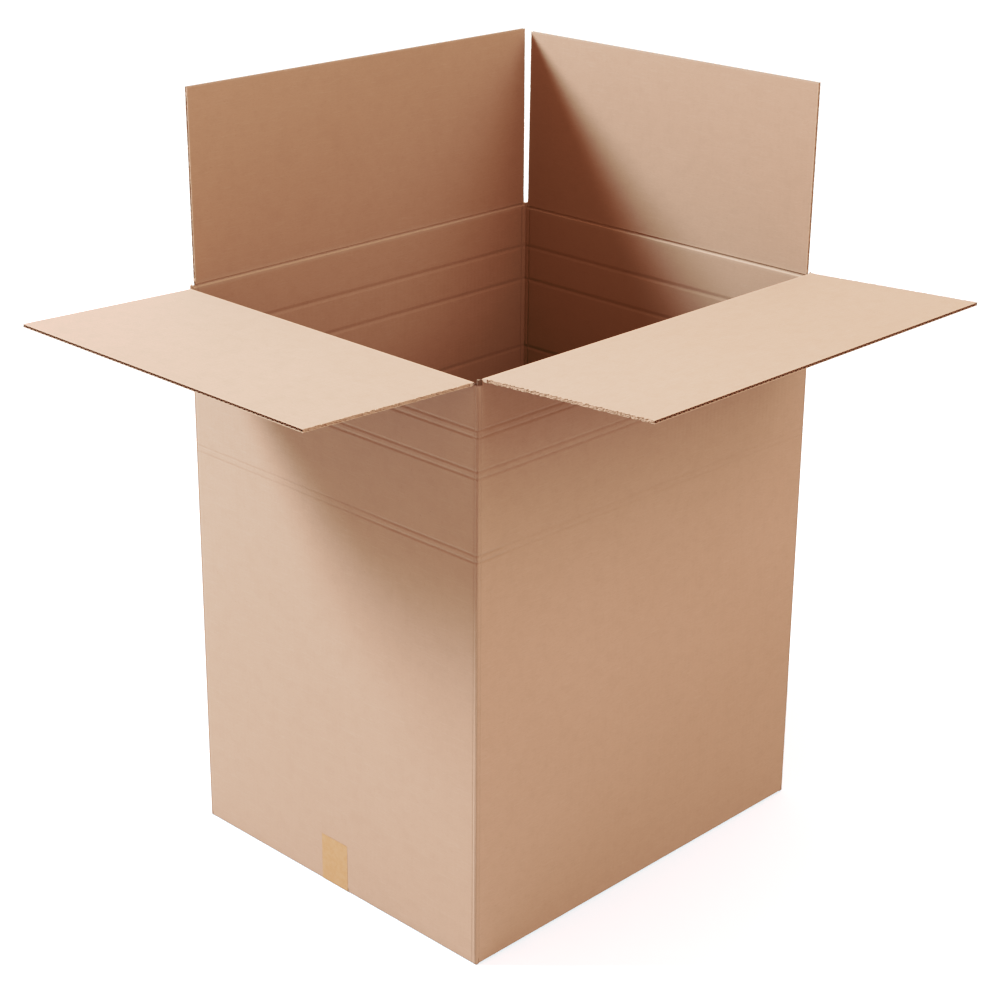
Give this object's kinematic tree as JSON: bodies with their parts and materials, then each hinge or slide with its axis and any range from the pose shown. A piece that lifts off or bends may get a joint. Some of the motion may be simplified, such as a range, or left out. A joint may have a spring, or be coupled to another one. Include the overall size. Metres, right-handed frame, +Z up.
{
  "type": "corrugated shipping box",
  "caption": "Tall open-topped corrugated shipping box with hinged top flaps, score lines round its walls for cutting it down, and a taped bottom seam.",
  "frame": {"origin": "middle of the box's footprint on the floor, on the underside of the bottom seam tape", "axes": "+Z up out of the open top, +X along the long walls from the near corner to the right, +Y along the short walls from the near corner to the left; the front flap hangs towards -Y and the left flap towards -X"},
  "size_m": [0.859, 0.7598, 0.9993],
  "materials": {
    "kraft_board": "uncoated brown kraft liner, matt",
    "packing_tape": "tan packing tape, slight sheen"
  },
  "bodies": {
    "box": {"box_body": "kraft_board", "bottom_seam_tape": "packing_tape"},
    "front_flap": {"front_side_flap": "kraft_board"},
    "back_flap": {"back_side_flap": "kraft_board"},
    "left_flap": {"left_end_flap": "kraft_board"},
    "right_flap": {"right_end_flap": "kraft_board"}
  },
  "joints": [
    {"name": "front_flap_fold", "type": "hinge", "parent": "box", "child": "front_flap", "pos_m": [0, -0.2535, 0.7493], "axis": [1, 0, 0], "range_deg": [-176.5, 63.5]},
    {"name": "back_flap_fold", "type": "hinge", "parent": "box", "child": "back_flap", "pos_m": [0, 0.2535, 0.7493], "axis": [-1, 0, 0], "range_deg": [-90.4, 149.6]},
    {"name": "left_flap_fold", "type": "hinge", "parent": "box", "child": "left_flap", "pos_m": [-0.3025, 0, 0.745], "axis": [0, -1, 0], "range_deg": [-178, 62]},
    {"name": "right_flap_fold", "type": "hinge", "parent": "box", "child": "right_flap", "pos_m": [0.3025, 0, 0.745], "axis": [0, 1, 0], "range_deg": [-90.6, 149.4]}
  ]
}
